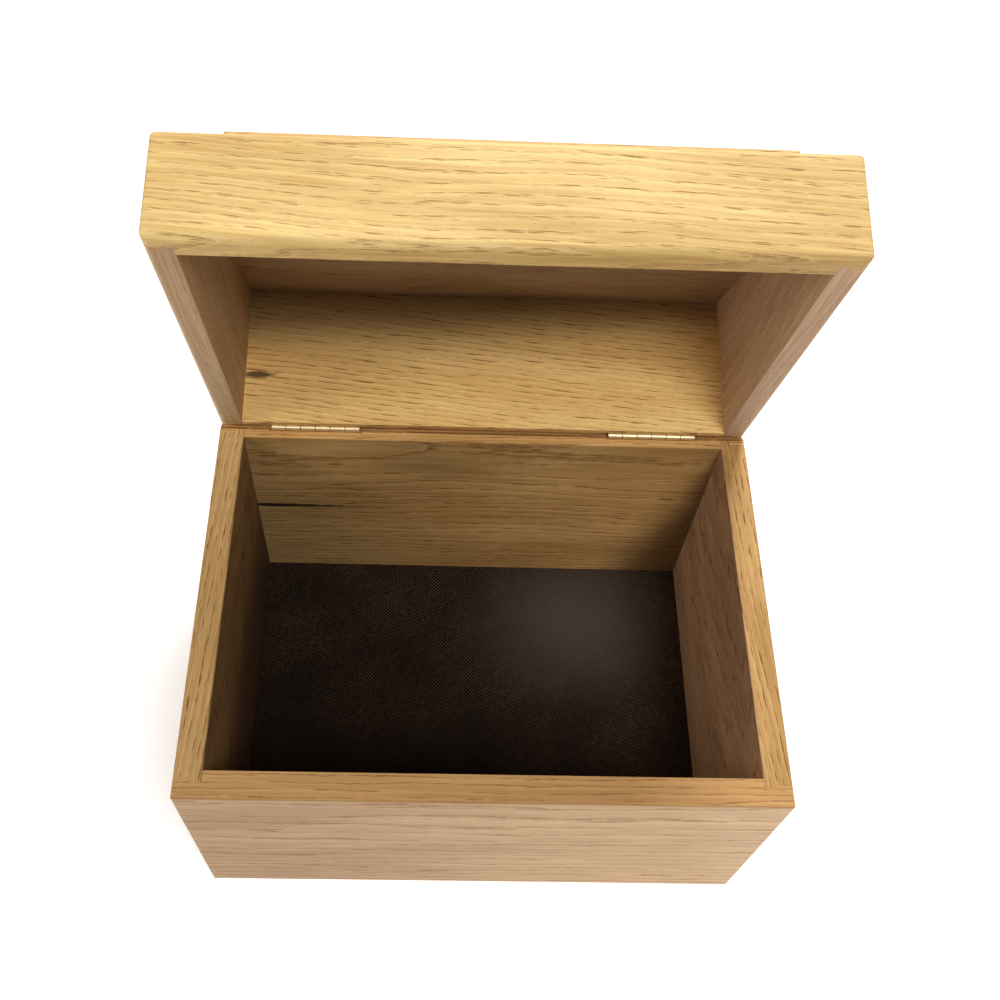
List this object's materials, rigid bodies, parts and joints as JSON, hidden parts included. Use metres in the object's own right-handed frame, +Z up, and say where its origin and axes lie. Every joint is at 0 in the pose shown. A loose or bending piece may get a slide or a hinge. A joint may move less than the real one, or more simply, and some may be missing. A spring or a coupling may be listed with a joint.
{
  "type": "donation box",
  "caption": "Wooden donation box whose sloping, hinged lid has a raised panel with a money slot; the open lid leans back on a stop cut into the back edges.",
  "frame": {"origin": "middle of the box's underside, on the surface that it stands on", "axes": "+X to the right, +Y to the back, where the hinges are, and +Z up"},
  "size_m": [0.3, 0.3073, 0.3751],
  "materials": {
    "oak_box": "satin varnished oak",
    "oak_lid": "satin varnished oak",
    "hardboard": "dark hardboard, mesh side up",
    "steel": "bright panel pins",
    "brass": "polished pale brass"
  },
  "bodies": {
    "box": {"front_board": "oak_box", "back_board": "oak_box", "left_board": "oak_box", "right_board": "oak_box", "bottom_panel": "hardboard", "bottom_pins": "steel", "left_hinge_box_leaf": "brass", "left_hinge_pin": "brass", "right_hinge_box_leaf": "brass", "right_hinge_pin": "brass"},
    "lid": {"lid_front_board": "oak_lid", "lid_back_board": "oak_lid", "lid_left_board": "oak_lid", "lid_right_board": "oak_lid", "lid_top_board": "oak_lid", "raised_panel": "oak_lid", "left_hinge_lid_leaf": "brass", "right_hinge_lid_leaf": "brass"}
  },
  "joints": [
    {"name": "lid_hinge", "type": "hinge", "parent": "box", "child": "lid", "pos_m": [0, 0.1028, 0.1558], "axis": [1, 0, 0], "range_deg": [0, 76.6]}
  ]
}
